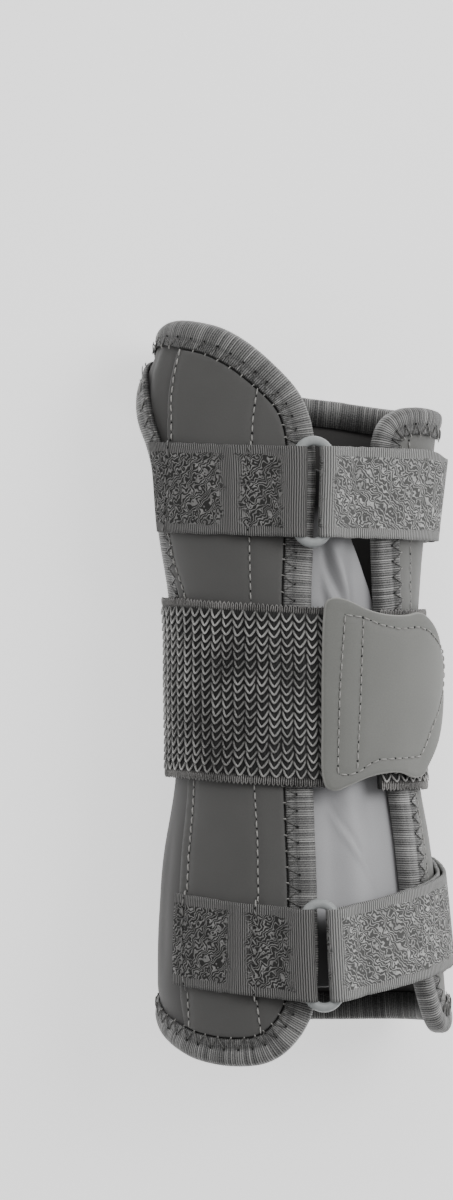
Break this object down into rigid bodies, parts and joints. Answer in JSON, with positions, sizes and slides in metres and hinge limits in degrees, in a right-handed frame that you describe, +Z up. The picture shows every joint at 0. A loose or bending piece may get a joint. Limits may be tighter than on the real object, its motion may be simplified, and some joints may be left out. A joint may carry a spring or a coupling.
{
  "type": "wrist brace",
  "caption": "Soft wrap-round wrist brace for a right hand, with a bound thumb hole, sewn stay pocket, knitted wrist band with pull tab, and two straps through wire rings.",
  "frame": {"origin": "on the flat underside of the wrist band, below the wrist", "axes": "+Y along the forearm to the fingertips, +Z up from the palm side to the back of the hand, +X to the little-finger side"},
  "size_m": [0.0878, 0.2038, 0.0681],
  "materials": {
    "wrap_cloth": "matte dark grey laminated cloth",
    "binding_tape": "ribbed dark grey elastic tape",
    "tongue_cloth": "smooth pale grey cloth",
    "knit_elastic": "open knitted elastic, dark with shiny yarn",
    "tab_cloth": "flat matte grey laminated cloth",
    "keeper_webbing": "short looped dark grey pile",
    "strap_webbing": "short looped grey pile",
    "ring_metal": "satin pale grey"
  },
  "bodies": {
    "root": {"body_wrap": "wrap_cloth", "edge_binding": "binding_tape", "thumb_binding": "binding_tape", "stay_cover": "wrap_cloth", "tongue": "tongue_cloth", "wrist_band": "knit_elastic", "pull_tab": "tab_cloth", "top_ring": "ring_metal", "bottom_ring": "ring_metal", "top_keeper": "keeper_webbing", "bottom_keeper": "keeper_webbing", "top_strap": "strap_webbing", "bottom_strap": "strap_webbing"}
  },
  "joints": []
}
